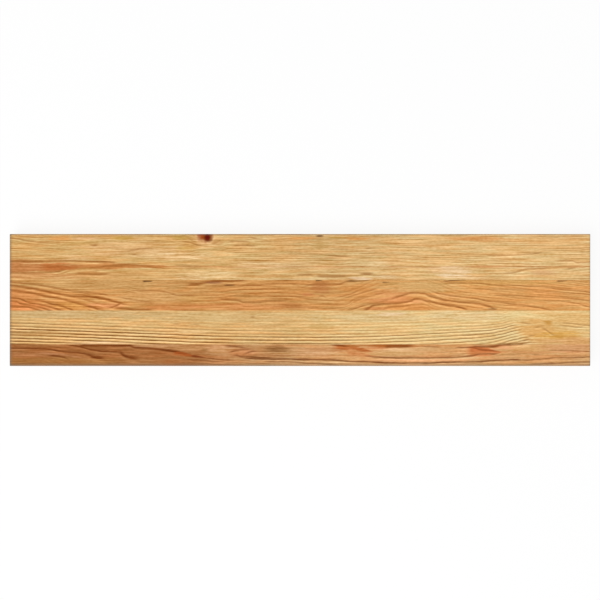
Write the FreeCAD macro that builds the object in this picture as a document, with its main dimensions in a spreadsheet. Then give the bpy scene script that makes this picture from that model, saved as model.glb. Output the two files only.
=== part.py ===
# Solid larch stair tread, glued up edge to edge from full-length staves.
#
# The staves are sawn and planed, glued into one panel, and the panel is then milled to its
# outline with every outer arris eased. The model follows that order: an outline body with
# eased arrises, a straight blank for each stave, and each stave as what the outline leaves
# of its blank, so that the easing runs on from stave to stave.
#
# Frame: origin at the centre of the underside, +X along the tread, +Y towards the riser,
# +Z up out of the walking face. All sizes are in millimetres.

import FreeCAD
import Part
import os

import Sketcher

OUTPUT_FOLDER = "parts"

# Driving dimensions, as alias and value.
SIZES = {
    "tread_length": 1100,
    "tread_thickness": 40,
    "arris_radius": 2,
    "back_stave_width": 87,
    "back_middle_stave_width": 58,
    "front_middle_stave_width": 64,
    "nosing_stave_width": 41,
}

# The staves in the order that they are laid, from the riser to the front edge.
STAVES = ["back_stave", "back_middle_stave", "front_middle_stave", "nosing_stave"]


def total_width(staves):
    """Expression for the width that these staves take up side by side."""
    return " + ".join(f"Sizes.{stave}_width" for stave in staves)


def add_sizes(doc):
    """The sheet of driving dimensions."""
    sheet = doc.addObject("Spreadsheet::Sheet", "Sizes")
    for row, (alias, value) in enumerate(SIZES.items(), start=1):
        sheet.set(f"A{row}", alias)
        sheet.set(f"B{row}", str(value))
        sheet.setAlias(f"B{row}", alias)
    doc.recompute()


def draw_plan(body):
    """The tread's plan: a rectangle centred on the origin, tread length by panel depth."""
    ground = next(plane for plane in body.Origin.OriginFeatures if plane.Role == "XY_Plane")
    plan = body.newObject("Sketcher::SketchObject", "plan")
    plan.AttachmentSupport = (ground, [""])
    plan.MapMode = "FlatFace"

    half_length = SIZES["tread_length"] / 2
    half_depth = sum(SIZES[f"{stave}_width"] for stave in STAVES) / 2
    corners = [
        FreeCAD.Vector(-half_length, -half_depth, 0),
        FreeCAD.Vector(half_length, -half_depth, 0),
        FreeCAD.Vector(half_length, half_depth, 0),
        FreeCAD.Vector(-half_length, half_depth, 0),
    ]
    front, right, back, left = [
        plan.addGeometry(Part.LineSegment(start, end))
        for start, end in zip(corners, corners[1:] + corners[:1])
    ]
    start_point, end_point, sketch_origin = 1, 2, -1
    sides = [front, right, back, left]
    for side, following in zip(sides, sides[1:] + sides[:1]):
        plan.addConstraint(Sketcher.Constraint("Coincident", side, end_point, following, start_point))
    for side in (front, back):
        plan.addConstraint(Sketcher.Constraint("Horizontal", side))
    for side in (right, left):
        plan.addConstraint(Sketcher.Constraint("Vertical", side))
    plan.addConstraint(
        Sketcher.Constraint("Symmetric", front, start_point, back, start_point, sketch_origin, start_point)
    )

    length = plan.addConstraint(
        Sketcher.Constraint("DistanceX", front, start_point, front, end_point, 2 * half_length)
    )
    depth = plan.addConstraint(
        Sketcher.Constraint("DistanceY", right, start_point, right, end_point, 2 * half_depth)
    )
    plan.renameConstraint(length, "length")
    plan.renameConstraint(depth, "depth")
    plan.setExpression("Constraints.length", "Sizes.tread_length")
    plan.setExpression("Constraints.depth", total_width(STAVES))
    return plan


def add_outline(doc):
    """What the glued panel is milled to: a slab of the tread's plan with all its arrises eased."""
    body = doc.addObject("PartDesign::Body", "milled_outline")
    plan = draw_plan(body)

    slab = body.newObject("PartDesign::Pad", "slab")
    slab.Profile = plan
    slab.setExpression("Length", "Sizes.tread_thickness")
    doc.recompute()

    easing = body.newObject("PartDesign::Fillet", "eased_arrises")
    easing.Base = (slab, [f"Edge{number}" for number in range(1, len(slab.Shape.Edges) + 1)])
    easing.setExpression("Radius", "Sizes.arris_radius")
    body.Tip = easing
    return body


def add_blank(doc, position):
    """The straight length of larch that one stave is milled from, laid against the stave behind it."""
    name = STAVES[position]
    blank = doc.addObject("Part::Box", f"{name}_blank")
    blank.setExpression("Length", "Sizes.tread_length")
    blank.setExpression("Width", f"Sizes.{name}_width")
    blank.setExpression("Height", "Sizes.tread_thickness")
    blank.setExpression("Placement.Base.x", "-Sizes.tread_length / 2")
    up_to_its_front = total_width(STAVES[: position + 1])
    blank.setExpression("Placement.Base.y", f"({total_width(STAVES)}) / 2 - ({up_to_its_front})")
    return blank


def add_stave(doc, position, outline):
    """One stave of the finished tread: its blank, milled to the outline of the panel."""
    stave = doc.addObject("Part::Common", STAVES[position])
    stave.Label = STAVES[position]
    stave.Base = add_blank(doc, position)
    stave.Tool = outline
    return stave


def check(doc, staves):
    """Stops the build if a feature failed or a stave is not one sound solid."""
    for item in doc.Objects:
        if {"Invalid", "Error"} & set(item.State):
            raise RuntimeError(f"{item.Name} failed: {item.State}")
    for stave in staves:
        if stave.Shape.isNull() or not stave.Shape.isValid() or len(stave.Shape.Solids) != 1:
            raise RuntimeError(f"{stave.Label} is not one valid solid")


def write_staves(staves):
    """Writes each stave to a file of its own name, and prints its size."""
    os.makedirs(OUTPUT_FOLDER, exist_ok=True)
    for stave in staves:
        stave.Shape.exportStep(os.path.join(OUTPUT_FOLDER, f"{stave.Label}.step"))
        box = stave.Shape.BoundBox
        print(
            f"{stave.Label}: {box.XLength:.1f} x {box.YLength:.1f} x {box.ZLength:.1f} mm, "
            f"y {box.YMin:.1f} to {box.YMax:.1f}, {stave.Shape.Volume / 1000:.1f} cm3"
        )


def main():
    doc = FreeCAD.newDocument("stair_tread")
    add_sizes(doc)
    outline = add_outline(doc)
    staves = [add_stave(doc, position, outline) for position in range(len(STAVES))]
    doc.recompute()
    check(doc, staves)
    write_staves(staves)


main()
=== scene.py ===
# %% [markdown]
# # A larch stair tread
# A solid stair tread, glued up edge to edge from four full-length staves of larch, then milled to
# its outline and sanded. Everything that makes it look like wood is in the figure of each stave: how
# the trunk's growth rings lie in it, where the red heartwood comes through, and its streaks and knot.
# This lesson models the staves by a rule and then grows the wood inside them, as a solid pattern
# that runs on from the walking face round the arrises to the sides, the ends and the underside.

# %% Load the frame
import math
from collections import namedtuple

import bpy
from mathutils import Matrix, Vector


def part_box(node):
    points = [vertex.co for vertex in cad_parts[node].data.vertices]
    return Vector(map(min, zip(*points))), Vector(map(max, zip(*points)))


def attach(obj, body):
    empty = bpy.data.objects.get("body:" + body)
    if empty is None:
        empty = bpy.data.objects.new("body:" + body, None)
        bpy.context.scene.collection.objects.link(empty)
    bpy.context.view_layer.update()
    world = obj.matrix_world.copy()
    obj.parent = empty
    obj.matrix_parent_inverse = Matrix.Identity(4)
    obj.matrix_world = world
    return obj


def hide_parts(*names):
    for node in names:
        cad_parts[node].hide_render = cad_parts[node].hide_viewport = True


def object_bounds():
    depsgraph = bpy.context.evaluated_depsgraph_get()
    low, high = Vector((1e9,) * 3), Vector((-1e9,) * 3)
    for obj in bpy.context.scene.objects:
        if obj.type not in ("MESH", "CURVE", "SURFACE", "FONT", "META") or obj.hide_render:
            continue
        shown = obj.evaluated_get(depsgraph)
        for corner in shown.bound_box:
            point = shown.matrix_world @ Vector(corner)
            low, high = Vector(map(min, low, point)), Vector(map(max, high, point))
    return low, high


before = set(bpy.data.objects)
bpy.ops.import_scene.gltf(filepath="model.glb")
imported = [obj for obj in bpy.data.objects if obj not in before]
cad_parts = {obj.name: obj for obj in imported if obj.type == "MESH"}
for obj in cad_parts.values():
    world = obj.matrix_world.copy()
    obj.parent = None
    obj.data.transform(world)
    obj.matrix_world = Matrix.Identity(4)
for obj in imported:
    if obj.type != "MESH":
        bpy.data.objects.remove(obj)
cad_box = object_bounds()
MM = 0.001
LENGTH = cad_box[1].x - cad_box[0].x
DEPTH = cad_box[1].y - cad_box[0].y
THICKNESS = cad_box[1].z - cad_box[0].z
print("staves in the frame:", ", ".join(sorted(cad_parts)))
print("CAD box in metres:", [tuple(round(value, 4) for value in corner) for corner in cad_box])

# %% [markdown]
# ## Camera
# The tread lies flat and is seen square-on from above, with a long lens, so that its four sides
# don't show. The camera's height follows from how much of the picture the tread's length takes up.

# %% Camera above the walking face
PICTURE_SIDE = 600
TREAD_IN_PICTURE = 580.8
LENS_MM = 85
SENSOR_MM = 36

seen_width = LENGTH * PICTURE_SIDE / TREAD_IN_PICTURE
lens = bpy.data.cameras.new("camera")
lens.lens = LENS_MM
lens.sensor_width = SENSOR_MM
camera = bpy.data.objects.new("camera", lens)
camera.location = (0, 0, THICKNESS + seen_width * LENS_MM / SENSOR_MM)
bpy.context.scene.collection.objects.link(camera)
bpy.context.scene.camera = camera
bpy.context.scene.view_settings.view_transform = "Standard"
print(f"camera {camera.location.z:.3f} m above the floor")

# %% [markdown]
# ## Writing node trees as sums
# Wood needs a lot of arithmetic, and a tree of Math nodes is hard to read. So one small class wraps
# an output socket and lets Python's own operators add the Math nodes. Every other node comes from
# its one method, which takes the node's type, its settings and what goes into its sockets.

# %% A socket that can be reckoned with
class Wire:
    """An output socket of the tree in hand. Arithmetic on it adds Math nodes to that tree."""

    tree = None

    def __init__(self, socket):
        self.socket = socket

    @classmethod
    def node(cls, kind, settings=None, sockets=None, output=0):
        """Adds a node and gives one of its outputs. Settings are set before the sockets."""
        made = cls.tree.nodes.new(kind)
        for name, setting in (settings or {}).items():
            if name == "points":
                cls.bend_curve(made.mapping, setting)
            else:
                setattr(made, name, setting)
        for name, given in (sockets or {}).items():
            if isinstance(given, Wire):
                cls.tree.links.new(given.socket, made.inputs[name])
            else:
                made.inputs[name].default_value = given
        return cls(made.outputs[output]) if made.outputs else None

    @staticmethod
    def bend_curve(mapping, points):
        """Puts a curve node's line through these points, from left to right."""
        line = mapping.curves[0]
        line.points[0].location = points[0]
        line.points[1].location = points[-1]
        for point in points[1:-1]:
            line.points.new(*point)
        for point in line.points:
            point.handle_type = "AUTO_CLAMPED"
        mapping.update()

    def out(self, name):
        """Another output of the same node."""
        return Wire(self.socket.node.outputs[name])

    @staticmethod
    def math(operation, *terms):
        """What a Math node makes of these terms."""
        return Wire.node("ShaderNodeMath", {"operation": operation}, dict(enumerate(terms)))

    def __add__(self, other):
        return Wire.math("ADD", self, other)

    def __radd__(self, other):
        return Wire.math("ADD", other, self)

    def __sub__(self, other):
        return Wire.math("SUBTRACT", self, other)

    def __rsub__(self, other):
        return Wire.math("SUBTRACT", other, self)

    def __mul__(self, other):
        return Wire.math("MULTIPLY", self, other)

    def __rmul__(self, other):
        return Wire.math("MULTIPLY", other, self)

    def __truediv__(self, other):
        return Wire.math("DIVIDE", self, other)

    def __rtruediv__(self, other):
        return Wire.math("DIVIDE", other, self)

    def __pow__(self, other):
        return Wire.math("POWER", self, other)

    def __abs__(self):
        return Wire.math("ABSOLUTE", self)


# %% [markdown]
# ## A stave's shape
# Each stave is a straight length with square sides where it is glued, and with a lightly rounded
# arris wherever it meets the outside of the panel. A box with a bevel would give that too, but then
# the four boards would need four bevels that match. Here one Geometry Nodes tree makes any of them:
# a grid on the six sides of a block, close-set near the edges, whose points are pulled onto a
# rounded block. Sanding by hand never leaves an even arris, so a slow noise varies its radius.

# %% The tree that rounds a block
ROWS_IN_ARRIS = 6
FLAT_BESIDE_ARRIS = 0.5 * MM
SHARP_EDGE = math.radians(50)
RADIUS_WAVES_PER_METRE = 14
AXES = "XYZ"


def vector(operation, *terms):
    return Wire.node("ShaderNodeVectorMath", {"operation": operation}, dict(enumerate(terms)))


def vector_from(*values):
    return Wire.node("ShaderNodeCombineXYZ", sockets=dict(zip(AXES, values)))


def parts_of(given):
    """The X, Y and Z of a vector."""
    split = Wire.node("ShaderNodeSeparateXYZ", sockets={0: given})
    return [split.out(axis) for axis in AXES]


def share(value):
    """The value, held between 0 and 1."""
    return Wire.node("ShaderNodeClamp", sockets={"Value": value})


def add_inputs(tree):
    """The sizes that a stave is made to, and its wood."""
    for name, kind in {
        "Lowest Corner": "NodeSocketVector",
        "Highest Corner": "NodeSocketVector",
        "Eased Low Sides": "NodeSocketVector",
        "Eased High Sides": "NodeSocketVector",
        "Arris Radius": "NodeSocketFloat",
        "Radius Variation": "NodeSocketFloat",
        "Segments Along": "NodeSocketInt",
        "Segments Across": "NodeSocketInt",
        "Segments Up": "NodeSocketInt",
        "Wood": "NodeSocketMaterial",
    }.items():
        tree.interface.new_socket(name, in_out="INPUT", socket_type=kind)
    tree.interface.new_socket("Stave", in_out="OUTPUT", socket_type="NodeSocketGeometry")


def place_row(position, segments, low, high, band):
    """Where a row of the unit block goes on one axis: close rows at both ends, even rows between."""
    step = (position + 0.5) * segments
    first = share(step / ROWS_IN_ARRIS)
    middle = share((step - ROWS_IN_ARRIS) / (segments - 2 * ROWS_IN_ARRIS))
    last = share((step - segments + ROWS_IN_ARRIS) / ROWS_IN_ARRIS)
    return low + band * (first + last) + (high - low - 2 * band) * middle


def ease_arrises(given, place):
    """Pulls a point of the block onto the block with rounded arrises, on the sides that are eased."""
    waves = Wire.node(
        "ShaderNodeTexNoise", sockets={"Vector": place, "Scale": RADIUS_WAVES_PER_METRE, "Detail": 1.0}
    )
    radius = given.out("Arris Radius") * (1 - given.out("Radius Variation") * waves)
    radii = vector_from(radius, radius, radius)
    low_cut = vector("MULTIPLY", radii, given.out("Eased Low Sides"))
    low_core = vector("ADD", given.out("Lowest Corner"), low_cut)
    high_cut = vector("MULTIPLY", radii, given.out("Eased High Sides"))
    high_core = vector("SUBTRACT", given.out("Highest Corner"), high_cut)
    core = vector("MINIMUM", vector("MAXIMUM", place, low_core), high_core)
    outward = vector("NORMALIZE", vector("SUBTRACT", place, core))
    return vector("ADD", core, vector("MULTIPLY", outward, radii))


def move_points(shape, position):
    return Wire.node("GeometryNodeSetPosition", sockets={"Geometry": shape, "Position": position})


def grow_stave_tree():
    """The whole tree, from a unit block to a finished stave."""
    tree = bpy.data.node_groups.new("eased_stave", "GeometryNodeTree")
    add_inputs(tree)
    Wire.tree = tree
    given = Wire.node("NodeGroupInput")
    segments = [given.out(f"Segments {way}") for way in ("Along", "Across", "Up")]
    counts = {f"Vertices {axis}": number + 1 for axis, number in zip(AXES, segments)}
    block = Wire.node("GeometryNodeMeshCube", sockets={"Size": (1, 1, 1), **counts})

    band = given.out("Arris Radius") + FLAT_BESIDE_ARRIS
    position = parts_of(Wire.node("GeometryNodeInputPosition"))
    low = parts_of(given.out("Lowest Corner"))
    high = parts_of(given.out("Highest Corner"))
    rows = [place_row(*axis, band) for axis in zip(position, segments, low, high)]
    spaced = move_points(block, vector_from(*rows))
    place = Wire.node("GeometryNodeInputPosition")
    eased = move_points(spaced, ease_arrises(given, place))

    smooth = Wire.node(
        "GeometryNodeSetShadeSmooth", {"domain": "FACE"}, {"Geometry": eased, "Shade Smooth": True}
    )
    fold = Wire.node("GeometryNodeInputMeshEdgeAngle")
    sharp = Wire.node("FunctionNodeCompare", {"operation": "GREATER_THAN"}, {0: fold, 1: SHARP_EDGE})
    creased = Wire.node(
        "GeometryNodeSetShadeSmooth",
        {"domain": "EDGE"},
        {"Geometry": smooth, "Selection": sharp, "Shade Smooth": False},
    )
    whole = Wire.node("GeometryNodeRealizeInstances", sockets={"Geometry": creased})
    dressed = Wire.node(
        "GeometryNodeSetMaterial", sockets={"Geometry": whole, "Material": given.out("Wood")}
    )
    Wire.node("NodeGroupOutput", sockets={"Stave": dressed})
    return tree


stave_tree = grow_stave_tree()
print(f"stave tree: {len(stave_tree.nodes)} nodes")

# %% [markdown]
# ## Turning the tree into a board
# The tree is given a stave's two corners from the frame, and which of its sides are on the outside
# of the panel. The result is then made a plain mesh at the origin, because the finished piece must
# not depend on a modifier. It stands for the stave of the same name, and moves with its body.

# %% Make a stave
ARRIS_RADIUS = 2 * MM
RADIUS_VARIATION = 0.3
SEGMENT_LENGTH = 10 * MM
SEGMENT_WIDTH = 4 * MM
TOUCHING = 0.1 * MM


def set_inputs(modifier, values):
    """Sets a modifier's inputs by their sockets' identifiers."""
    for item in modifier.node_group.interface.items_tree:
        if item.in_out == "INPUT":
            modifier[item.identifier] = values[item.name]


def make_stave(node, wood):
    """Makes the finished stave that stands for this node of the frame, in this wood."""
    low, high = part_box(node)
    size = high - low
    outside_low = [float(abs(low[axis] - cad_box[0][axis]) < TOUCHING) for axis in range(3)]
    outside_high = [float(abs(high[axis] - cad_box[1][axis]) < TOUCHING) for axis in range(3)]
    steps = (SEGMENT_LENGTH, SEGMENT_WIDTH, SEGMENT_WIDTH)
    segments = [2 * ROWS_IN_ARRIS + round(size[axis] / step) for axis, step in enumerate(steps)]

    piece = bpy.data.objects.new(f"larch_{node}", bpy.data.meshes.new(f"larch_{node}"))
    bpy.context.scene.collection.objects.link(piece)
    modifier = piece.modifiers.new("stave", "NODES")
    modifier.node_group = stave_tree
    set_inputs(modifier, {
        "Lowest Corner": low,
        "Highest Corner": high,
        "Eased Low Sides": outside_low,
        "Eased High Sides": outside_high,
        "Arris Radius": ARRIS_RADIUS,
        "Radius Variation": RADIUS_VARIATION,
        "Segments Along": segments[0],
        "Segments Across": segments[1],
        "Segments Up": segments[2],
        "Wood": wood,
    })
    evaluated = piece.evaluated_get(bpy.context.evaluated_depsgraph_get())
    mesh = bpy.data.meshes.new_from_object(evaluated)
    piece.modifiers.clear()
    piece.data = mesh
    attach(piece, "root")
    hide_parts(node)
    print(f"{piece.name}: {len(mesh.polygons)} faces, {segments} segments")


# %% [markdown]
# ## Where on the stave
# The figure of the wood is laid out in millimetres, as a joiner would mark it: the station along
# the tread from its left end, the place across it from its middle, and the depth below the walking
# face. It is read from Object coordinates, so the pattern is solid, and every cut through it shows
# matching grain. A cell of noise is given by its length, its width and how finely it is broken up.

# %% Places, noise and colours
LENGTH_MM = LENGTH / MM
DEPTH_MM = DEPTH / MM
THICKNESS_MM = THICKNESS / MM
Spot = namedtuple("Spot", "station across below")


def spot_in_wood():
    """The place being shaded, in millimetres."""
    place = Wire.node("ShaderNodeTexCoord", output="Object")
    along, across, up = parts_of(place)
    return Spot(along / MM + LENGTH_MM / 2, across / MM, THICKNESS_MM - up / MM)


def noise(spot, cell, seed):
    """A soft random value about 0, in cells of this length, width and detail."""
    length, width, detail = cell
    place = vector_from(spot.station / length + seed, spot.across / width, spot.below / width)
    texture = Wire.node("ShaderNodeTexNoise", sockets={"Vector": place, "Scale": 1.0, "Detail": detail})
    return texture * 2 - 1


def noise_along(value, seed):
    """A soft random value from 0 to 1 that changes with one number."""
    return Wire.node(
        "ShaderNodeTexNoise", {"noise_dimensions": "1D"}, {"W": value + seed, "Scale": 1.0, "Detail": 1.0}
    )


def ease(value, start, end):
    """0 up to the start, 1 from the end on, and a soft step between them."""
    return Wire.node(
        "ShaderNodeMapRange",
        {"interpolation_type": "SMOOTHSTEP"},
        {"Value": value, "From Min": start, "From Max": end},
    )


def through(value, points):
    """A smooth line through given points, read at this value."""
    left, right = points[0][0], points[-1][0]
    lowest = min(height for _, height in points)
    spread = max(height for _, height in points) - lowest or 1
    shape = [((place - left) / (right - left), (height - lowest) / spread) for place, height in points]
    run = share((value - left) / (right - left))
    return Wire.node("ShaderNodeFloatCurve", {"points": shape}, {"Value": run}) * spread + lowest


def colour(red, green, blue):
    """A colour given as on a screen, from 0 to 255, as the linear colour that a shader takes."""
    parts = [part / 255 for part in (red, green, blue)]
    return *[part / 12.92 if part < 0.04045 else ((part + 0.055) / 1.055) ** 2.4 for part in parts], 1.0


def mix(amount, first, second):
    return Wire.node("ShaderNodeMix", {"data_type": "RGBA"}, {0: amount, 6: first, 7: second}, output=2)


def tint(base, amount):
    """A colour made lighter or darker."""
    return Wire.node("ShaderNodeVectorMath", {"operation": "SCALE"}, {0: base, "Scale": amount})


print(f"tread {LENGTH_MM:.0f} mm long, {THICKNESS_MM:.0f} mm thick")

# %% [markdown]
# ## Growth rings
# The lines on a board are the tree's growth rings, cut lengthwise. Where the trunk grew straight
# they run level, and where it was crooked or the saw ran out of line they dip, rise and close in
# tongues. Rings could be worked out as sleeves about the trunk's heart, but then one crooked line
# moves all the others. So each stave has a few given guide lines, with a number of rings between
# each two of them. Below the face the rings lean over, as the ends of the tread show.

# %% Rings between guide lines
CALM_ENDS = 0.75
WANDER_CELL = (150, 30, 2.0)
TREMBLE_CELL = (30, 5, 2.0)


def lie_of_grain(spot, end, figure):
    """The same place with the waves and the lean of the grain taken out."""
    wander = noise(spot, WANDER_CELL, figure["seed"]) * figure["wander"]
    tremble = noise(spot, TREMBLE_CELL, figure["seed"]) * figure["tremble"] * (1 - CALM_ENDS * end)
    lean = spot.below * (figure["lean"] + figure["bend"] * spot.below)
    return Spot(spot.station, spot.across + wander + tremble + lean, spot.below)


def count_rings(grain, figure):
    """The number of rings from the stave's first guide line to this place."""
    guides = [through(grain.station, points) for points in figure["guides"]]
    gaps = list(zip(guides, guides[1:], figure["rings"]))
    count = 0
    for number, (upper, lower, rings) in enumerate(gaps):
        run = (upper - grain.across) / (upper - lower)
        if number > 0:
            run = Wire.math("MAXIMUM", run, 0)
        if number < len(gaps) - 1:
            run = Wire.math("MINIMUM", run, 1)
        count = count + rings * run
    return count


# %% [markdown]
# ## Latewood
# In larch a ring starts pale and soft in spring, darkens into hard latewood, and ends sharply. That
# is one curve, repeated. No two rings are as dark, and a line comes and goes along the stave, so
# each ring gets its own strength and its own run of noise. The face was cut flat along the rings, so
# there they look broad. The sawn ends cut straight across them, and show all the rings between.

# %% One ring, repeated
SPRING_TO_WINTER = [(0, 0.0), (0.38, 0.05), (0.6, 0.55), (0.76, 1.0), (0.93, 1.0), (1, 0.0)]
SPRING_ENDS = (0.4, 0.05)
UNEVEN_RINGS = 0.2
UNEVEN_STEP = 0.9
RUN_OF_A_LINE = 110
RING_STEP = 7.3
LINE_FADES = (0.6, 0.38)
END_DARKNESS = 0.8


def one_ring(count):
    """A ring's darkness from spring to winter, and how far through its year this place is."""
    season = Wire.math("FRACT", count)
    return Wire.node("ShaderNodeFloatCurve", {"points": SPRING_TO_WINTER}, {"Value": season}), season


def ring_lines(grain, count, end, figure):
    """How dark the latewood is here, from 0 to 1, and how pale the spring wood beside it."""
    uneven = count + UNEVEN_RINGS * noise_along(count * UNEVEN_STEP, figure["seed"])
    ring = Wire.math("FLOOR", uneven)
    line, season = one_ring(uneven)
    place = grain.station + figure["slant"] * grain.across
    strength = through(count, figure["darkness"]) * through(place, figure["lines_along"])
    run = noise_along(grain.station / RUN_OF_A_LINE + ring * RING_STEP, figure["seed"])
    strength = strength * (1 - figure["fading"] * ease(run, *LINE_FADES))
    on_end, _ = one_ring(uneven * figure["rings_on_end"])
    lines = line * strength * (1 - end) + END_DARKNESS * on_end * end
    return lines, ease(season, *SPRING_ENDS) * strength


# %% [markdown]
# ## Strokes, streaks, stains and knots
# The rings alone would give an even, quiet board. What makes each stave that very stave is placed
# one by one: strokes are single dark rings that follow the grain down through the wood, streaks are
# the same in another tone, stains are soft lenses that reach only a little below the face, and a
# knot is the root of a branch: a dark egg in the wood, of which the faces show what they cut.

# %% Strokes
Stroke = namedtuple("Stroke", "width strength points")
TAPER = 16
OVERRUN = 1
STROKE_RAGGED = 0.45
EVEN_SHARE = 0.9
UNEVEN_SHARE = 0.5
LINE_BELOW = (-1.1, -0.1)
LINE_ABOVE = (2.3, 0.2)
RIM_BELOW = (-3.4, -1.8)
RIM_ABOVE = (-0.9, -1.5)


def run_out(grain, points):
    """1 along a line, falling to 0 at both of its ends."""
    first, last = points[0][0], points[-1][0]
    taper = min(TAPER, (last - first) / 2)
    starts = ease(grain.station, first - OVERRUN, first + taper)
    return starts * ease(grain.station, last + OVERRUN, last - taper)


def stroke_mask(grain, ragged, stroke):
    """A ring through given points, dark on the line and pale in the next spring below it.

    It darkens slowly from above and ends sharply below."""
    middle = through(grain.station, stroke.points)
    side = (grain.across - middle) / stroke.width + STROKE_RAGGED * ragged
    strength = run_out(grain, stroke.points) * stroke.strength * (EVEN_SHARE + UNEVEN_SHARE * ragged)
    line = ease(side, *LINE_BELOW) * ease(side, *LINE_ABOVE)
    rim = ease(side, *RIM_BELOW) * ease(side, *RIM_ABOVE)
    return line * strength, rim * strength


def draw_strokes(base, grain, ragged, figure):
    """The wood's colour with the stave's own dark rings on it, and where the pale rims are."""
    darkest, palest = 0, 0
    for stroke in figure["strokes"]:
        line, rim = stroke_mask(grain, ragged, stroke)
        darkest = Wire.math("MAXIMUM", line, darkest)
        palest = Wire.math("MAXIMUM", rim, palest)
    return mix(darkest, base, colour(*figure["dark"])), palest * (1 - darkest)


# %% Streaks
Streak = namedtuple("Streak", "width strength points tone")
TONGUE_ROOT = 1.03
TONGUE_BULGE = 2.2
STREAK_RAGGED = 1.1
STREAK_EDGE = (1.3, 0.35)
STREAK_FADES_IN = (0.0, 0.25)


def streak_mask(grain, ragged, streak):
    """A tongue through given points: it fades in at the left and ends in a point at the right."""
    first, last = streak.points[0][0], streak.points[-1][0]
    run = share((grain.station - first) / (last - first))
    half = streak.width * (TONGUE_ROOT - run ** TONGUE_BULGE)
    aside = abs(grain.across - through(grain.station, streak.points)) / half
    edge = ease(aside + STREAK_RAGGED * ragged, *STREAK_EDGE)
    return edge * ease(run, *STREAK_FADES_IN) * streak.strength


# %% Stains and knots
Stain = namedtuple("Stain", "station across length width tone strength")
Knot = namedtuple("Knot", "station across length width lean tone strength")
STAIN_DEPTH = 2
LEAST_STAIN_DEPTH = 4
STAIN_RAGGED = 1.8
STAIN_EDGE = (1.5, 0.0)
KNOT_DEPTH = 1.35
KNOT_CELL = (11, 10, 1.0)
KNOT_RAGGED = 0.8
KNOT_EDGE = (1.5, 0.1)


def stain_mask(spot, ragged, stain):
    """A soft lens about a place on the face."""
    along = (spot.station - stain.station) / stain.length
    across = (spot.across - stain.across) / stain.width
    below = spot.below / (stain.width * STAIN_DEPTH + LEAST_STAIN_DEPTH)
    reach = along * along + across * across + below * below
    return ease(reach + STAIN_RAGGED * ragged, *STAIN_EDGE) * stain.strength


def knot_mask(spot, knot):
    """The root of a branch, a rough egg that leans as it goes down into the wood."""
    rough = noise(spot, KNOT_CELL, knot.station)
    along = (spot.station - knot.station) / knot.length
    across = (spot.across - knot.across - spot.below * knot.lean) / knot.width
    below = spot.below / (knot.width * KNOT_DEPTH)
    reach = along * along + across * across + below * below
    return ease(reach + KNOT_RAGGED * rough, *KNOT_EDGE) * knot.strength


# %% Put marks on the wood
def add_marks(base, spot, grain, ragged, marks):
    """The wood's colour with these streaks, stains and knots on it."""
    for mark in marks:
        if isinstance(mark, Streak):
            mask = streak_mask(grain, ragged, mark)
        elif isinstance(mark, Knot):
            mask = knot_mask(spot, mark)
        else:
            mask = stain_mask(spot, ragged, mark)
        base = mix(mask, base, colour(*mark.tone))
    return base


# %% [markdown]
# ## End grain, arrises and glue lines
# Where the saw cut across the fibres, the ends drink more and look darker and duller. The eased
# arrises carry painted shade: a grey-brown mixed into the rounded edges, most at the left end and
# the front. The glue lines show as hairlines. All three are told from the place and from the way the
# surface faces, so the pieces need no masks painted on them.

# %% Ends, arrises and joints
END_SHADE = 0.76
END_FACING = (0.45, 0.9)
# Painted shade on the eased arrises: this grey-brown is mixed into the rounded edges, reaching furthest in
# from the left end and the front.
ARRIS_SHADE_TONE = colour(126, 110, 90)
NARROW_SHADE = 4.5
WIDE_SHADE = 7
UNEVEN_EDGE = 3
FULL_SHADE = 0.8
ARRIS_SHADE = {"left": 0.58, "right": 0.3, "front": 0.6, "back": 0.3, "corner": 0.3}
UNEVEN_SHADE = 0.7
GLUE_SHADE = 0.88
GLUE_LINE = (0.45, 0.1)


def end_grain():
    """1 on the two sawn ends, 0 on the long faces."""
    facing = parts_of(Wire.node("ShaderNodeNewGeometry", output="Normal"))[0]
    return ease(abs(facing), *END_FACING)


def painted_arris_shade(spot, ragged):
    """How much painted shade greys the rounded edges round the walking face and the underside."""
    uneven = UNEVEN_EDGE * ragged
    left = ease(spot.station + uneven, WIDE_SHADE, FULL_SHADE)
    right = ease(LENGTH_MM - spot.station + uneven, NARROW_SHADE, FULL_SHADE)
    front = ease(DEPTH_MM / 2 + spot.across + uneven, WIDE_SHADE, FULL_SHADE)
    back = ease(DEPTH_MM / 2 - spot.across + uneven, NARROW_SHADE, FULL_SHADE)
    face = ease(THICKNESS_MM / 2 - abs(spot.below - THICKNESS_MM / 2), NARROW_SHADE, FULL_SHADE)
    ends = ARRIS_SHADE["left"] * left + ARRIS_SHADE["right"] * right
    sides = ARRIS_SHADE["front"] * front + ARRIS_SHADE["back"] * back
    corner = ARRIS_SHADE["corner"] * (left + right) * (front + back)
    edge_shade = face * (ends + sides) + corner * (1 - face)
    return share(edge_shade * (1 + UNEVEN_SHADE * ragged))


def glue_line(spot, figure):
    """1 on the hairline beside a glued side."""
    lines = [ease(abs(spot.across - side), *GLUE_LINE) for side in figure["glued"]]
    return share(sum(lines[1:], lines[0]))


# %% [markdown]
# ## The wood
# One function puts the wood together: pale earlywood and dark latewood by the ring lines, slow
# changes of tone along the stave, fine fibres, then the marks and the ends. Hard latewood is
# glossier than the earlywood and stands a hair proud of it after sanding, so the same lines also
# drive the roughness and the bump.

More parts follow.
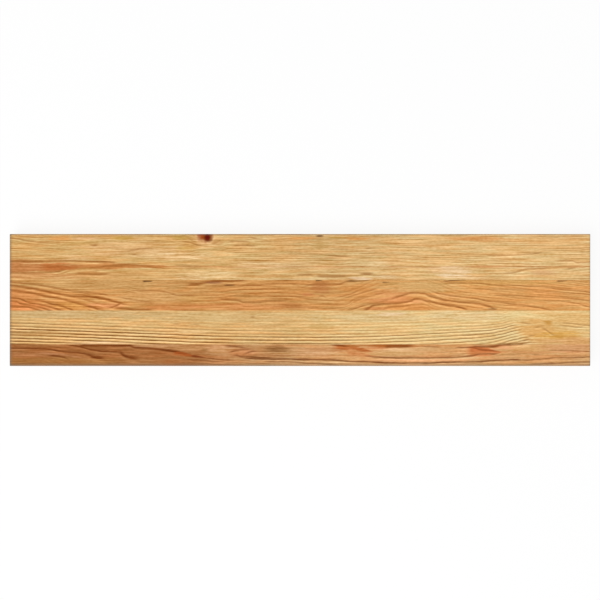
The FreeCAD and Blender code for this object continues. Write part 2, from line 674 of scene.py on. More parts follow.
# %% Larch
COOLER = (0.95, 1.01, 0.97, 1)
WARMER = (1.05, 0.975, 0.87, 1)
CLOUDED = (0.92, 0.87, 0.8, 1)
UNCHANGED = (1, 1, 1, 1)
FIBRE_CELL = (45, 0.9, 3.0)
FIBRE_CONTRAST = 0.28
FLECK_CELL = (8, 2.2, 1.0)
FLECK_CONTRAST = 0.3
STREAK_LENGTH = 62
STREAK_DETAIL = 2.0
CLOUD_CELL = (150, 13, 2.0)
CLOUD_RANGE = (-0.4, 0.5)
HUE_CELL = (70, 6, 2.0)
HUE_RANGE = (-0.3, 0.3)
RAGGED_CELL = (42, 2.6, 3.0)
SPRING_LIGHT = 0.34
RIM_LIGHT = 0.34
SHADED_PARTS = (0.7, 1.0, 1.58)
PLAIN_ROUGHNESS = 0.6
LATEWOOD_GLOSS = 0.08
FIBRE_ROUGHNESS = 0.06
END_ROUGHNESS = 0.12
LATEWOOD_RELIEF = 0.6
FIBRE_RELIEF = 0.4
RELIEF_HEIGHT = 0.08 * MM
RELIEF_STRENGTH = 0.4
SPECULAR_LEVEL = 0.05


def shaded(base, amount):
    """The colour made paler or darker as wood fibres are: blue changes most, and red least."""
    return vector("MULTIPLY", base, vector("MULTIPLY_ADD", amount, SHADED_PARTS, UNCHANGED[:3]))


def larch(name, figure):
    """A larch with this stave's own figure."""
    wood = bpy.data.materials.new(name)
    wood.use_nodes = True
    Wire.tree = wood.node_tree
    Wire.tree.nodes.clear()
    seed = figure["seed"]
    spot = spot_in_wood()
    end = end_grain()
    grain = lie_of_grain(spot, end, figure)
    lines, spring = ring_lines(grain, count_rings(grain, figure), end, figure)
    fibre = noise(grain, FIBRE_CELL, seed + 1)
    fleck = noise(grain, FLECK_CELL, seed + 6)
    streak = noise(grain, (STREAK_LENGTH, figure["streak_width"], STREAK_DETAIL), seed + 2)
    cloud = noise(grain, CLOUD_CELL, seed + 3)
    hue = noise(grain, HUE_CELL, seed + 4)
    ragged = noise(grain, RAGGED_CELL, seed + 5)

    early = [colour(*figure[side]) for side in ("early_left", "early_right")]
    base = mix(ease(spot.station, *figure["turn"]), *early)
    base = vector("MULTIPLY", base, mix(ease(cloud, *CLOUD_RANGE), UNCHANGED, CLOUDED))
    base = vector("MULTIPLY", base, mix(ease(hue, *HUE_RANGE), COOLER, WARMER))
    base = mix(share(lines), base, colour(*figure["late"]))
    base = add_marks(base, spot, grain, ragged, figure["under"])
    base, rim = draw_strokes(base, grain, ragged, figure)
    base = add_marks(base, spot, grain, ragged, figure["over"])
    streaked = through(spot.station, figure["streak_contrast"]) * streak
    grained = FIBRE_CONTRAST * fibre + FLECK_CONTRAST * fleck + streaked
    grained = grained * (1 - CALM_ENDS * end)
    base = shaded(base, grained + SPRING_LIGHT * spring + RIM_LIGHT * rim)
    joint = 1 - (1 - GLUE_SHADE) * glue_line(spot, figure)
    level = through(spot.station, figure["level"])
    base = tint(base, level * joint * (1 - (1 - END_SHADE) * end))
    # Painted shade: the rounded edges are mixed towards a grey-brown, most at the left end and the front.
    base = mix(painted_arris_shade(spot, ragged), base, ARRIS_SHADE_TONE)

    roughness = PLAIN_ROUGHNESS - LATEWOOD_GLOSS * lines + FIBRE_ROUGHNESS * fibre + END_ROUGHNESS * end
    height = LATEWOOD_RELIEF * lines + FIBRE_RELIEF * fibre
    bump = Wire.node("ShaderNodeBump", sockets={
        "Strength": RELIEF_STRENGTH, "Distance": RELIEF_HEIGHT, "Height": height,
    })
    surface = Wire.node("ShaderNodeBsdfPrincipled", sockets={
        "Base Color": base, "Roughness": roughness, "Normal": bump, "Specular IOR Level": SPECULAR_LEVEL,
    })
    Wire.node("ShaderNodeOutputMaterial", sockets={"Surface": surface})
    print(f"{name}: {len(Wire.tree.nodes)} nodes")
    return wood


# %% [markdown]
# ## Back stave
# The widest stave, next to the riser: pale tan and fine-lined. A red tongue of heartwood shows at
# its left end, and a dark knot is cut through by the back edge, with the grain swirling round it.
# Each stave's figure says how its rings lie, how dark they are across and along the stave, what
# tones its wood has, and which marks lie under and over its strokes. Tones are written as on a screen.

# %% Back stave
ORANGE = (226, 156, 84)
OLIVE = (194, 152, 74)
PALE_PINK = (242, 208, 166)
PALE_STRAW = (240, 206, 150)
DARK_BROWN = (112, 64, 24)
ALMOST_BLACK = (98, 58, 22)

back_figure = {
    "seed": 3.0,
    "guides": [
        [(0, 116), (52, 111), (150, 108), (330, 108), (372, 99), (420, 108), (550, 110), (1100, 110)],
        [
            (0, 73), (60, 74), (110, 72.5), (205, 70), (270, 67), (400, 65), (550, 66), (750, 68),
            (1000, 62), (1100, 66),
        ],
        [(0, 51), (75, 51), (107, 57), (150, 61), (250, 60), (400, 56), (750, 57), (1000, 53), (1100, 57)],
        [(0, 39), (550, 37), (1100, 39)],
    ],
    "rings": [11, 2, 3],
    "rings_on_end": 1.4,
    "wander": 2.2,
    "tremble": 1.1,
    "lean": 0.7,
    "bend": 0.006,
    "slant": 0,
    "darkness": [
        (-8, 0.55), (0, 0.55), (10, 0.6), (11, 0.5), (11.6, 0.2), (12.4, 0.2), (13, 0.5), (28, 0.55),
    ],
    "lines_along": [(0, 1.0), (330, 0.9), (390, 0.4), (440, 0.9), (1100, 0.9)],
    "fading": 1.0,
    "early_left": (224, 180, 120),
    "early_right": (234, 194, 138),
    "turn": (200, 800),
    "late": (178, 118, 54),
    "dark": (160, 98, 40),
    "level": [(0, 0.97), (300, 0.97), (480, 0.95), (620, 0.91), (760, 1.0), (900, 1.02), (1100, 1.02)],
    "streak_contrast": [(0, 0.72), (650, 0.72), (850, 0.6), (1100, 0.48)],
    "streak_width": 3.2,
    "glued": [38],
    "under": [
        Streak(19, 0.95, [(-130, 62), (0, 62), (60, 62), (100, 63), (150, 63.5)], (194, 126, 72)),
        Streak(9.5, 0.75, [(50, 65), (98, 62), (140, 61)], (184, 103, 46)),
        Stain(60, 45, 110, 7, (205, 142, 86), 0.7),
        Stain(150, 50, 30, 4.5, (188, 124, 58), 0.8),
        Streak(6.5, 0.95, [(100, 63), (150, 63.5), (200, 64), (256, 64), (320, 62.5)], (192, 124, 64)),
        Stain(97, 117, 24, 4, ORANGE, 0.8),
        Stain(142, 117, 24, 3, (232, 176, 122), 0.7),
        Stain(213, 117, 22, 4, (206, 163, 78), 0.8),
        Stain(135, 107, 34, 4, (200, 160, 90), 0.5),
        Stain(225, 96, 100, 16, (228, 184, 130), 0.5),
        Stain(215, 46, 95, 8, (206, 152, 92), 0.5),
        Stain(326, 118, 22, 5, OLIVE, 0.85),
        Stain(332, 98, 18, 4, OLIVE, 0.65),
        Stain(556, 117, 24, 3.5, ORANGE, 0.8),
        Stain(625, 118.5, 24, 2, (196, 146, 64), 0.8),
        Stain(658, 116.5, 28, 3, ORANGE, 0.9),
        Stain(880, 116, 60, 5, (218, 150, 84), 0.8),
        Stain(1020, 112, 80, 6, (230, 172, 106), 0.6),
        Stain(590, 104, 18, 7, (188, 142, 70), 0.5),
        Stain(695, 66, 24, 8, PALE_STRAW, 0.6),
        Stain(835, 56, 40, 10, PALE_PINK, 0.5),
        Stain(665, 40.5, 22, 3, PALE_PINK, 0.9),
        Stain(380, 47, 60, 9, PALE_STRAW, 0.5),
        Stain(372, 110, 28, 12, (238, 190, 132), 0.5),
        Stain(344, 106, 18, 12, (206, 150, 80), 0.6),
        Stain(343, 41.5, 28, 4, (240, 200, 150), 0.7),
        Stain(712, 43.5, 26, 4, (240, 204, 154), 0.6),
        Stain(882, 41.5, 30, 3.5, (240, 202, 148), 0.6),
        Stain(1013, 52, 26, 5, (206, 150, 100), 0.6),
        Stain(795, 105, 44, 5, (208, 156, 94), 0.6),
        Stain(315, 83, 70, 8, (244, 208, 156), 0.45),
        Stain(335, 63.5, 28, 5, (186, 142, 86), 0.6),
        Stain(500, 65, 70, 9, (240, 202, 150), 0.45),
        Stain(121, 80.5, 36, 5, (236, 192, 136), 0.5),
        Stain(845, 46.5, 30, 5, (244, 216, 176), 0.6),
        Stain(393, 110, 14, 6, (192, 134, 70), 0.6),
    ],
    "strokes": [
        Stroke(1.9, 0.9, [(-20, 73), (40, 73.3), (110, 72.7), (170, 71.5), (205, 70)]),
        Stroke(1.7, 0.7, [(165, 62.5), (200, 64), (240, 65), (256, 64.5), (276, 62.5)]),
        Stroke(1.5, 0.5, [(-20, 51), (40, 50.5), (75, 51), (90, 53.5), (107, 57)]),
        Stroke(1.4, 0.35, [(122, 50.5), (150, 53), (175, 57), (200, 60)]),
        Stroke(1.9, 0.7, [(120, 51), (150, 50), (170, 49.5), (196, 50)]),
        Stroke(1.4, 0.6, [(-20, 119), (10, 116), (40, 111), (70, 108), (82, 109)]),
        Stroke(1.7, 0.7, [(150, 105), (160, 103), (170, 103.5)]),
        Stroke(1.5, 0.6, [(218, 93), (235, 94.5), (252, 97), (275, 97)]),
        Stroke(1.4, 0.6, [(223, 87.5), (240, 86), (252, 84)]),
        Stroke(1.4, 0.5, [(318, 112), (345, 107), (360, 102.5), (375, 101.5)]),
        Stroke(1.4, 0.4, [(332, 119), (346, 112), (358, 107)]),
        Stroke(1.4, 0.4, [(378, 104), (392, 108), (402, 116)]),
        Stroke(1.5, 0.6, [(408, 110), (440, 110), (462, 109)]),
        Stroke(1.5, 0.6, [(418, 101.5), (440, 102.5), (472, 101)]),
        Stroke(1.4, 0.6, [(448, 120), (462, 117), (478, 113.5)]),
        Stroke(1.4, 0.7, [(596, 84), (622, 83), (650, 82)]),
        Stroke(1.5, 0.6, [(670, 98), (682, 97), (692, 97.5)]),
        Stroke(1.8, 0.6, [(538, 46.5), (562, 47), (580, 45)]),
        Stroke(2.0, 0.7, [(575, 44.5), (610, 43.5), (645, 44.5)]),
        Stroke(2.3, 0.8, [(658, 48.4), (676, 48.6), (694, 48.2)]),
        Stroke(1.4, 0.5, [(898, 85.5), (920, 83), (950, 84), (985, 86), (1014, 90)]),
        Stroke(1.7, 0.5, [(930, 50.5), (955, 52.5), (968, 55.5), (984, 58.5), (998, 59), (1026, 60.5)]),
        Stroke(1.5, 0.5, [(1030, 74), (1065, 73), (1080, 70), (1120, 73.5)]),
        Stroke(1.5, 0.5, [(1050, 57.5), (1078, 62.5)]),
    ],
    "over": [
        Streak(1.3, 0.8, [(255, 39.3), (400, 39.5), (560, 39), (610, 39.5)], PALE_STRAW),
        Stain(587, 121.5, 9, 2, ALMOST_BLACK, 0.9),
        Knot(370, 121, 19, 16, 0.12, (244, 194, 138), 0.7),
        Knot(370, 122.5, 15, 13, 0.12, (162, 74, 24), 1.0),
        Knot(376, 120.5, 9.5, 11, 0.12, (126, 62, 12), 0.95),
        Knot(374.5, 119, 5.5, 8, 0.14, (100, 10, 0), 0.95),
    ],
}
make_stave("back_stave", larch("pale_tan_larch", back_figure))

# %% [markdown]
# ## Back middle stave
# A reddish stave whose rings run out over its front side at the left end, and close over a hill
# right of the middle.

# %% Back middle stave
back_middle_figure = {
    "seed": 17.0,
    "guides": [
        [
            (0, 45), (95, 36), (209, 22), (285, 13), (380, 13), (455, 18), (531, 17), (606, 11), (650, 18),
            (686, 32), (740, 43), (796, 38), (836, 24), (874, 17), (966, 7), (1100, -2),
        ],
        [
            (0, 36), (97, 26), (192, 17), (254, 2), (360, -5), (432, 0), (455, -5), (495, 0), (550, -4),
            (597, -10), (626, -11), (650, -2), (686, 9), (740, 22), (775, 26), (800, 20), (836, 7),
            (874, 2), (966, -7), (1100, -13),
        ],
        [
            (0, 18), (45, 12), (95, 2), (135, -7), (167, -18), (228, -34), (550, -48), (648, -20),
            (695, -8), (739, -4), (775, 2), (800, -5), (819, -11), (863, -18), (929, -30), (1100, -47),
        ],
    ],
    "rings": [3, 4],
    "rings_on_end": 2.6,
    "wander": 1.2,
    "tremble": 1.0,
    "lean": -0.9,
    "bend": 0.004,
    "slant": 0,
    "darkness": [(-8, 0.5), (0, 0.5), (4, 0.5), (11, 0.5)],
    "lines_along": [
        (0, 0.6), (130, 0.9), (200, 1.25), (330, 1.2), (420, 1.0), (600, 0.9), (700, 0.55), (830, 0.8),
        (1100, 0.9),
    ],
    "fading": 0.8,
    "early_left": (214, 156, 95),
    "early_right": (232, 172, 108),
    "turn": (300, 800),
    "late": (172, 100, 36),
    "dark": (154, 86, 28),
    "level": [
        (0, 0.98), (150, 1.0), (350, 0.97), (480, 0.94), (620, 0.91), (740, 1.0), (900, 1.01), (1100, 1.0),
    ],
    "streak_contrast": [(0, 0.6), (120, 0.95), (300, 0.9), (560, 0.75), (680, 0.55), (1100, 0.55)],
    "streak_width": 2.3,
    "glued": [38, -20],
    "under": [
        Stain(10, -12, 60, 10, (212, 121, 62), 0.7),
        Stain(60, -14, 90, 8, (222, 142, 82), 0.6),
        Stain(120, -12, 40, 8, (214, 152, 76), 0.6),
        Stain(180, -11, 40, 6, (222, 146, 94), 0.6),
        Stain(310, -14, 60, 7, (204, 128, 70), 0.7),
        Stain(460, -13, 110, 7, (218, 146, 86), 0.7),
        Stain(150, 29, 230, 12, (200, 153, 93), 0.9),
        Stain(285, 6, 100, 13, (208, 158, 98), 0.75),
        Stain(590, 24, 20, 12, (184, 112, 60), 0.65),
        Stain(565, 10, 14, 4, (212, 124, 74), 0.6),
        Stain(730, 14, 40, 9, (227, 152, 96), 0.6),
        Stain(730, 0, 60, 7, (222, 141, 88), 0.6),
        Stain(760, -14, 60, 7, (218, 142, 74), 0.6),
        Stain(930, 33, 130, 6, (212, 162, 92), 0.7),
        Stain(775, 26, 85, 12, (211, 168, 106), 0.8),
        Stain(350, 3, 30, 8, (206, 154, 84), 0.5),
        Stain(4, 6, 75, 18, (210, 128, 70), 0.6),
        Stain(530, -11, 28, 7, (186, 120, 62), 0.7),
        Stain(695, -17, 26, 4, (202, 126, 70), 0.7),
        Stain(400, 28, 28, 5, (178, 120, 62), 0.6),
        Stain(829, 7, 26, 5, (238, 178, 116), 0.5),
    ],
    "strokes": [
        Stroke(2.0, 0.9, [
            (-20, 30), (40, 22), (70, 16), (105, 9), (120, 7), (165, 5), (195, -2), (212, -6.5), (224, -10),
        ]),
        Stroke(1.6, 0.6, [(-20, 36), (40, 30), (80, 24), (120, 16.5), (140, 13.5), (165, 12), (192, 7)]),
        Stroke(2.0, 0.9, [
            (-20, 20), (20, 16), (45, 12), (72, 6), (100, 1), (115, -3), (150, -12), (180, -22),
        ]),
        Stroke(1.7, 0.8, [(-20, 4.5), (15, 3), (25, 0), (35, -5), (50, -8), (70, -12), (110, -24)]),
        Stroke(1.7, 0.8, [(42, 1.5), (65, -3), (80, -8), (95, -11), (130, -24)]),
        Stroke(1.7, 0.8, [(-20, -2), (12, -3.5), (20, -7), (35, -10), (55, -14), (90, -24)]),
        Stroke(1.8, 0.8, [(-20, -13), (25, -13), (45, -17), (75, -25)]),
        Stroke(1.8, 0.9, [(182, -15.5), (194, -13.5), (204, -10), (213, -6.5), (220, -4.5)]),
        Stroke(2.0, 0.8, [(192, -14), (220, -16.5), (240, -18.5), (280, -19)]),
        Stroke(1.4, 0.5, [(200, 8), (230, 1), (250, -2), (278, -5.5)]),
        Stroke(1.4, 0.5, [(225, 17), (260, 18), (290, 16), (330, 8), (360, 8)]),
        Stroke(1.8, 0.7, [
            (392, 2.5), (415, 0), (430, -0.5), (450, -5), (470, -4.5), (490, -2.5), (510, -3), (530, -1),
        ]),
        Stroke(1.7, 0.5, [
            (396, 28.5), (440, 27), (460, 26.5), (480, 29), (500, 30.5), (520, 31), (550, 27),
        ]),
        Stroke(2.6, 0.9, [(332, 28.5), (355, 30), (375, 33), (395, 35), (420, 35.5), (454, 37.5)]),
        Stroke(1.4, 0.5, [(460, 18.5), (490, 20.5), (528, 20)]),
        Stroke(1.4, 0.4, [(400, 6), (450, 7), (520, 6), (570, 8)]),
        Stroke(1.7, 0.55, [(553, 25), (590, 30), (620, 30), (640, 35), (657, 37)]),
        Stroke(1.7, 0.6, [(583, 3), (592, 7), (600, 5)]),
        Stroke(1.3, 0.42, [(612, 4), (640, 9), (655, 15), (670, 22)]),
        Stroke(1.3, 0.42, [(628, 0), (650, 8), (670, 14), (702, 22)]),
        Stroke(1.3, 0.38, [(645, -4), (680, 6), (714, 14)]),
        Stroke(2.0, 0.77, [
            (718, 0), (740, 7), (750, 10), (765, 12.5), (780, 12), (795, 8), (810, 3), (830, -1.5),
            (850, -3.5), (880, -6), (900, -10), (925, -20),
        ]),
        Stroke(2.0, 0.81, [
            (670, -20), (680, -16), (688, -10.5), (705, -8), (728, -6.8), (750, -4), (762, -1), (771, 1.7),
            (780, 1), (790, -1.5), (810, -6), (830, -9.5), (845, -12), (875, -22),
        ]),
        Stroke(1.4, 0.6, [
            (794, 16), (815, 12), (830, 9), (850, 6.5), (880, 3), (905, -2), (935, -5.5), (950, -8),
            (970, -9.5), (990, -12.5), (1030, -20),
        ]),
        Stroke(1.6, 0.55, [(636, -22), (660, -14), (673, -9.6), (696, -4.9), (724, 1)]),
        Stroke(2.7, 0.9, [(668, -19.5), (680, -16), (690, -10.5)]),
        Stroke(1.7, 0.6, [(704, -19), (716, -14), (745, -11.5), (765, -10)]),
        Stroke(1.4, 0.52, [
            (820, 32), (890, 31), (920, 28), (970, 27), (1000, 25.5), (1020, 23.5), (1045, 20),
            (1075, 17.5), (1120, 12),
        ]),
        Stroke(1.3, 0.41, [(875, 20), (940, 20), (985, 19), (1000, 16), (1040, 14), (1070, 12), (1120, 8)]),
        Stroke(1.3, 0.45, [(912, 9), (960, 8), (985, 6), (1010, 5.5), (1040, 5), (1070, 2), (1120, -6)]),
        Stroke(1.4, 0.52, [(1005, -1), (1050, -3), (1070, -6), (1085, -10), (1120, -20)]),
    ],
    "over": [
        Stain(388, 33, 16, 3.5, (142, 86, 54), 0.7),
        Stain(416, 28, 11, 2, DARK_BROWN, 0.8),
        Stain(915, -16.5, 11, 2, DARK_BROWN, 0.6),
        Streak(1.6, 1.0, [(250, 35.6), (260, 35.2), (272, 35.6)], ALMOST_BLACK),
        Streak(1.5, 0.9, [(634, 36.2), (660, 36), (684, 37.2)], ALMOST_BLACK),
        Streak(1.2, 0.7, [(704, 33), (722, 33)], DARK_BROWN),
        Streak(1.4, 0.9, [(578, 36.2), (594, 36.2)], ALMOST_BLACK),
        Streak(1.5, 0.8, [(816, 34.5), (840, 36.5), (866, 38)], DARK_BROWN),
        Streak(1.6, 0.8, [(1034, 36), (1045, 36), (1058, 37.5)], DARK_BROWN),
    ],
}
make_stave("back_middle_stave", larch("reddish_larch", back_middle_figure))

# %% [markdown]
# ## Front middle stave
# A straw-yellow stave with the straightest grain: its rings show as even lines that sink and rise a
# little, up to a swirl near the right end.

# %% Front middle stave
front_middle_figure = {
    "seed": 31.0,
    "guides": [
        [
            (0, -33.5), (130, -38), (270, -43), (550, -49), (740, -46), (830, -42), (930, -37), (962, -31),
            (1100, -30),
        ],
        [
            (0, -56.5), (130, -61), (270, -66), (400, -70.5), (550, -72.5), (650, -72), (740, -69),
            (830, -64), (900, -60), (930, -55.5), (962, -48.5), (1000, -44), (1055, -44.5), (1100, -49),
        ],
        [
            (0, -68), (130, -72.5), (270, -78.5), (400, -83), (550, -84.5), (740, -81), (830, -77),
            (900, -72), (930, -67), (962, -59.5), (1000, -55), (1100, -60),
        ],
    ],
    "rings": [4, 2],
    "rings_on_end": 2.2,
    "wander": 0.5,
    "tremble": 0.9,
    "lean": 0.5,
    "bend": 0.004,
    "slant": 1.15,
    "darkness": [
        (-3, 0.3), (0, 0.3), (1, 0.35), (2, 0.55), (3, 0.55), (3.6, 0.9), (4, 1.0), (5, 0.8), (6, 1.0),
        (7, 0.8), (12, 0.9),
    ],
    "lines_along": [
        (-100, 1.25), (260, 1.16), (340, 1.03), (450, 0.9), (560, 0.87), (680, 0.74), (890, 0.8),
        (918, 0.22), (1100, 0.22),
    ],
    "fading": 0.25,
    "early_left": (237, 193, 133),
    "early_right": (243, 208, 150),
    "turn": (450, 800),
    "late": (132, 78, 20),
    "dark": (150, 96, 40),
    "level": [(0, 0.92), (200, 0.97), (550, 0.98), (740, 1.0), (900, 1.0), (1100, 0.99)],
    "streak_contrast": [(0, 0.42), (1100, 0.45)],
    "streak_width": 3.4,
    "glued": [-20, -84],
    "under": [
        Stain(120, -27, 220, 9, (206, 172, 118), 0.85),
        Stain(420, -32, 190, 12, (210, 175, 118), 0.7),
        Stain(690, -33, 120, 10, (217, 185, 130), 0.8),
        Stain(722, -27, 26, 4, PALE_PINK, 0.6),
        Stain(588, -50.5, 28, 6, (196, 154, 88), 0.7),
        Stain(492, -49, 50, 5, (200, 160, 102), 0.55),
        Stain(50, -64, 80, 6, (180, 129, 70), 0.62),
        Stain(175, -81.5, 65, 3, (240, 196, 144), 0.7),
        Stain(340, -60, 36, 4, (242, 202, 142), 0.55),
        Stain(860, -30, 80, 9, (232, 204, 152), 0.6),
        Stain(1000, -57, 40, 22, (226, 167, 94), 0.8),
        Stain(1070, -40, 60, 18, (228, 180, 112), 0.7),
        Stain(1040, -67, 42, 9, (224, 168, 82), 0.9),
        Stain(1070, -79, 80, 9, (221, 165, 104), 0.95),
        Stain(1036, -70, 14, 5, (206, 148, 66), 0.7),
        Stain(1020, -43, 10, 5, (202, 144, 64), 0.9),
    ],
    "strokes": [
        Stroke(1.4, 0.6, [(962, -41), (975, -43.5), (985, -45), (994, -44)]),
        Stroke(1.7, 0.6, [(988, -52.5), (1003, -51), (1010, -49.5), (1015, -45)]),
        Stroke(1.5, 0.7, [(966, -79.5), (980, -76), (990, -73)]),
        Stroke(1.7, 0.9, [(922, -83.3), (950, -83), (974, -81.8), (992, -79)]),
        Stroke(1.8, 0.55, [(1002, -52), (1014, -56), (1023, -62), (1036, -69)]),
        Stroke(1.4, 0.6, [(978, -66), (988, -68), (998, -65)]),
        Stroke(1.3, 0.65, [(1042, -44), (1060, -44.5), (1075, -46.5), (1120, -51)]),
        Stroke(1.2, 0.6, [(1037, -48.5), (1060, -50), (1075, -51.5), (1095, -52)]),
        Stroke(1.3, 0.55, [(306, -46), (316, -45.8), (326, -46.5)]),
        Stroke(1.3, 0.5, [(336, -46.5), (352, -47), (366, -48.5)]),
        Stroke(2.0, 0.5, [(453, -33.5), (461, -32.5), (468, -33.5)]),
    ],
    "over": [],
}
make_stave("front_middle_stave", larch("straw_larch", front_middle_figure))

# %% [markdown]
# ## Nosing stave
# The narrow stave at the front edge: brown heartwood at its left, with dark streaks, and red tongues
# in a paler ground towards the right.

# %% Nosing stave
nosing_figure = {
    "seed": 47.0,
    "guides": [
        [
            (0, -52), (218, -70), (360, -88), (457, -94), (550, -94), (700, -92), (836, -88), (930, -84),
            (1100, -78),
        ],
        [
            (0, -66), (120, -72), (218, -86), (247, -91), (300, -97), (360, -106), (457, -112), (640, -113),
            (740, -109.5), (836, -106.5), (874, -103), (930, -100), (1100, -93),
        ],
        [
            (0, -93), (42, -92), (78, -97), (139, -109), (200, -114), (300, -124), (550, -131), (830, -130),
            (980, -123), (1100, -118),
        ],
    ],
    "rings": [3, 4],
    "rings_on_end": 2.4,
    "wander": 1.2,
    "tremble": 1.8,
    "lean": -0.6,
    "bend": 0.008,
    "slant": 0,
    "darkness": [(-4, 0.5), (0, 0.4), (3, 0.5), (6, 0.5)],
    "lines_along": [(0, 0.8), (500, 0.6), (1100, 0.6)],
    "fading": 0.8,
    "early_left": (170, 110, 64),
    "early_right": (222, 169, 116),
    "turn": (300, 560),
    "late": (146, 82, 30),
    "dark": (118, 56, 10),
    "level": [
        (0, 0.95), (250, 0.98), (350, 0.98), (410, 1.0), (450, 0.93), (490, 0.86), (560, 0.94), (640, 1.0),
        (760, 1.03), (900, 1.05), (1100, 1.02),
    ],
    "streak_contrast": [(0, 0.85), (400, 0.8), (600, 0.5), (1100, 0.45)],
    "streak_width": 2.1,
    "glued": [-84],
    "under": [
        Stain(60, -116, 200, 8, (164, 110, 54), 0.7),
        Stain(40, -104, 80, 4, (182, 120, 74), 0.6),
        Stain(160, -89, 36, 5, (134, 78, 34), 0.7),
        Stain(340, -91, 50, 6, (196, 142, 90), 0.9),
        Stain(245, -118, 50, 6, (172, 116, 68), 0.7),
        Streak(2.4, 0.7, [(40, -99), (80, -102), (120, -107), (160, -115)], (188, 128, 84)),
        Stain(370, -94.5, 9, 3, (146, 104, 52), 0.65),
        Stain(398, -95, 26, 11, (218, 166, 116), 0.75),
        Stain(505, -93, 26, 7, (144, 92, 44), 0.8),
        Stain(442, -99, 30, 8, (204, 134, 84), 0.7),
        Stain(500, -106, 40, 5, (188, 126, 75), 0.6),
        Stain(580, -99, 50, 9, (214, 162, 116), 0.6),
        Stain(600, -93, 36, 5, (202, 144, 94), 0.7),
        Streak(7.5, 1.0, [(604, -88), (640, -89.5), (668, -94), (690, -98)], (186, 106, 52)),
        Streak(7, 0.9, [(634, -96), (658, -101.5), (690, -107)], (212, 141, 87)),
        Stain(698, -91, 28, 4, (208, 130, 78), 0.9),
        Stain(726, -86.5, 52, 5, (174, 96, 38), 0.95),
        Stain(655, -86, 26, 3, (178, 110, 54), 0.7),
        Stain(930, -88, 26, 4.5, (182, 109, 55), 0.8),
        Stain(272, -86.5, 48, 3.5, (206, 155, 105), 0.85),
        Stain(745, -97, 60, 8, (220, 173, 120), 0.7),
        Stain(735, -101, 50, 4, (204, 158, 98), 0.6),
        Streak(11, 0.95, [(860, -96.5), (888, -97), (932, -99.2)], (206, 125, 71)),
        Streak(6, 0.75, [(864, -91), (892, -93), (924, -97.5)], (188, 102, 52)),
        Stain(950, -90, 30, 4, (228, 164, 112), 0.8),
        Stain(1005, -90, 60, 8, (216, 166, 104), 0.9),
        Stain(1060, -90, 60, 8, (214, 156, 108), 0.7),
        Streak(3.2, 0.8, [
            (660, -112.5), (720, -114), (790, -115), (860, -113), (930, -110),
        ], (238, 172, 118)),
    ],
    "strokes": [
        Stroke(1.5, 0.91, [
            (-20, -91.5), (60, -93), (100, -98), (148, -103), (155, -106), (170, -110), (187, -111),
        ]),
        Stroke(2.9, 1.0, [(138, -102.5), (150, -105), (158, -108), (170, -110), (186, -111.5)]),
        Stroke(1.4, 0.91, [(68, -103.5), (90, -107), (105, -110), (116, -115.5)]),
        Stroke(1.6, 1.0, [
            (106, -86), (135, -89), (148, -93), (165, -96), (190, -98), (208, -99), (216, -104),
        ]),
        Stroke(3.2, 1.0, [(200, -97.5), (208, -99.5), (215, -104), (222, -108), (234, -111), (249, -112)]),
        Stroke(2.1, 1.0, [
            (126, -86), (180, -86), (225, -87), (238, -90), (275, -93), (300, -96), (318, -99), (340, -103),
        ]),
        Stroke(1.4, 0.65, [(366, -108.5), (385, -111.5), (405, -113.5), (428, -114)]),
        Stroke(1.3, 0.5, [(330, -112), (370, -114.5), (390, -116.5), (410, -117)]),
        Stroke(1.7, 0.8, [(403, -87), (430, -89), (454, -92.5)]),
        Stroke(1.4, 0.6, [(410, -101), (432, -95.5), (464, -93)]),
        Stroke(1.7, 0.8, [(416, -107.5), (428, -105.5), (440, -108), (470, -109), (504, -110.5)]),
        Stroke(1.5, 0.75, [(440, -103), (455, -99), (474, -97)]),
        Stroke(1.6, 0.9, [
            (440, -111.5), (520, -112.5), (600, -114), (640, -116), (680, -117.5), (760, -120),
            (830, -118.5), (870, -118), (910, -115.5), (950, -114), (976, -113.4),
        ]),
        Stroke(1.4, 0.6, [(960, -113.7), (990, -113), (1020, -111), (1050, -109.5), (1120, -107.5)]),
        Stroke(1.6, 0.77, [
            (668, -106), (710, -109), (760, -110), (830, -109), (850, -108.5), (875, -106), (895, -103),
            (915, -102.5), (932, -99.5),
        ]),
        Stroke(1.4, 0.64, [(980, -122.5), (1040, -120), (1120, -117.5)]),
        Stroke(1.4, 0.65, [(480, -117), (530, -118), (580, -121), (625, -123)]),
        Stroke(1.7, 0.85, [(600, -84.5), (620, -85.5), (645, -88)]),
        Stroke(3.4, 0.7, [(704, -88), (724, -88.3), (742, -88), (768, -87)]),
        Stroke(1.3, 0.51, [(772, -88), (800, -89), (822, -90)]),
        Stroke(1.5, 0.72, [(840, -90), (866, -90), (890, -94), (910, -96), (922, -97), (932, -99.5)]),
        Stroke(2.4, 0.81, [
            (868, -89.5), (905, -88.5), (920, -88), (930, -86), (945, -84.5), (965, -83.5), (995, -82),
        ]),
        Stroke(1.3, 0.42, [(980, -103), (1014, -104)]),
        Stroke(1.3, 0.42, [(1016, -97), (1040, -96), (1070, -97), (1120, -98.5)]),
    ],
    "over": [
        Streak(4.5, 0.9, [(306, -99.5), (330, -102.5), (350, -105.5)], (158, 77, 28)),
        Streak(2.2, 0.95, [(340, -105), (355, -107), (374, -108.5)], (122, 54, 16)),
    ],
}
make_stave("nosing_stave", larch("brown_larch", nosing_figure))

# %% [markdown]
# ## Floor and light
# A plain pale floor that the camera sees as almost white, with a faint shadow of the tread left on
# it, which fades far out so that no horizon shows. The light is soft: an even sky, and one large
# lamp from the front left that models the arrises.

# %% Floor
FLOOR_SIZE = 12
FLOOR_DROP = 0.2 * MM
FLOOR_COLOUR = (0.8, 0.8, 0.8, 1)
SHADOW_SHARE = 0.1
SHADOW_FADES = (3.5, 1.5)


def seen_directly():
    """1 for what the camera sees itself, in a mirror or through glass."""
    path = Wire.node("ShaderNodeLightPath")
    return share(path + path.out("Is Glossy Ray") + path.out("Is Transmission Ray"))


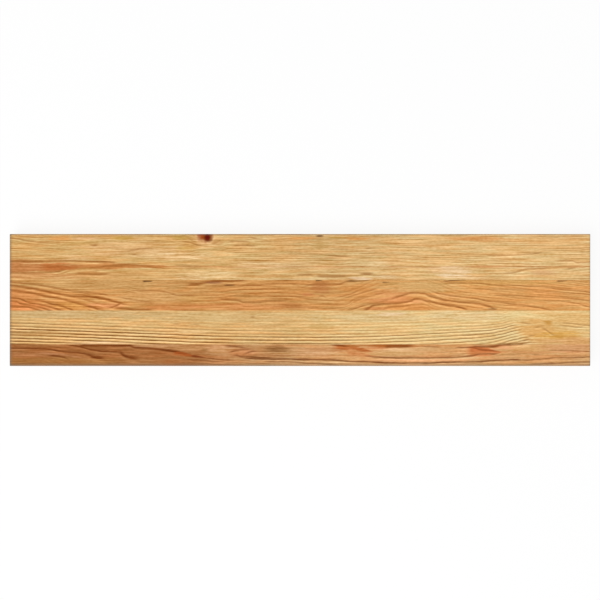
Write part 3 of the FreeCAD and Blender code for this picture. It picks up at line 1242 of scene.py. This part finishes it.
def pale_floor():
    material = bpy.data.materials.new("pale_floor")
    material.use_nodes = True
    Wire.tree = material.node_tree
    Wire.tree.nodes.clear()
    lit = Wire.node("ShaderNodeBsdfDiffuse", sockets={"Color": FLOOR_COLOUR})
    shade = (SHADOW_SHARE, SHADOW_SHARE, SHADOW_SHARE, 1)
    shadow = Wire.node("ShaderNodeBsdfDiffuse", sockets={"Color": shade})
    glow = Wire.node("ShaderNodeEmission", sockets={"Strength": 1 - SHADOW_SHARE})
    near = Wire.node("ShaderNodeAddShader", sockets={0: shadow, 1: glow})
    far = Wire.node("ShaderNodeEmission", sockets={"Strength": 1.0})
    place = Wire.node("ShaderNodeTexCoord", output="Object")
    away = vector("LENGTH", place).out("Value")
    shown = Wire.node("ShaderNodeMixShader", sockets={0: ease(away, *SHADOW_FADES), 1: far, 2: near})
    surface = Wire.node("ShaderNodeMixShader", sockets={0: seen_directly(), 1: lit, 2: shown})
    Wire.node("ShaderNodeOutputMaterial", sockets={"Surface": surface})
    return material


half = FLOOR_SIZE / 2
corners = [(x, y, -FLOOR_DROP) for x, y in ((-half, -half), (half, -half), (half, half), (-half, half))]
floor_mesh = bpy.data.meshes.new("floor")
floor_mesh.from_pydata(corners, [], [(0, 1, 2, 3)])
floor_mesh.materials.append(pale_floor())
floor = bpy.data.objects.new("floor", floor_mesh)
bpy.context.scene.collection.objects.link(floor)
print(f"floor {FLOOR_SIZE} m wide")

# %% Light
SKY_STRENGTH = 0.53
LAMP_POWER = 92
LAMP_SIZE = 3.0
LAMP_PLACE = (-1.2, -1.6, 3.2)

world = bpy.data.worlds.new("soft_sky")
bpy.context.scene.world = world
world.use_nodes = True
Wire.tree = world.node_tree
Wire.tree.nodes.clear()
strength = SKY_STRENGTH + (1 - SKY_STRENGTH) * seen_directly()
sky = Wire.node("ShaderNodeBackground", sockets={"Color": (1, 1, 1, 1), "Strength": strength})
Wire.node("ShaderNodeOutputWorld", sockets={"Surface": sky})

lamp_data = bpy.data.lights.new("large_lamp", "AREA")
lamp_data.energy = LAMP_POWER
lamp_data.size = LAMP_SIZE
lamp = bpy.data.objects.new("large_lamp", lamp_data)
lamp.location = LAMP_PLACE
lamp.rotation_euler = (-lamp.location).to_track_quat("-Z", "Y").to_euler()
bpy.context.scene.collection.objects.link(lamp)
print(f"sky {SKY_STRENGTH}, lamp {LAMP_POWER} W")
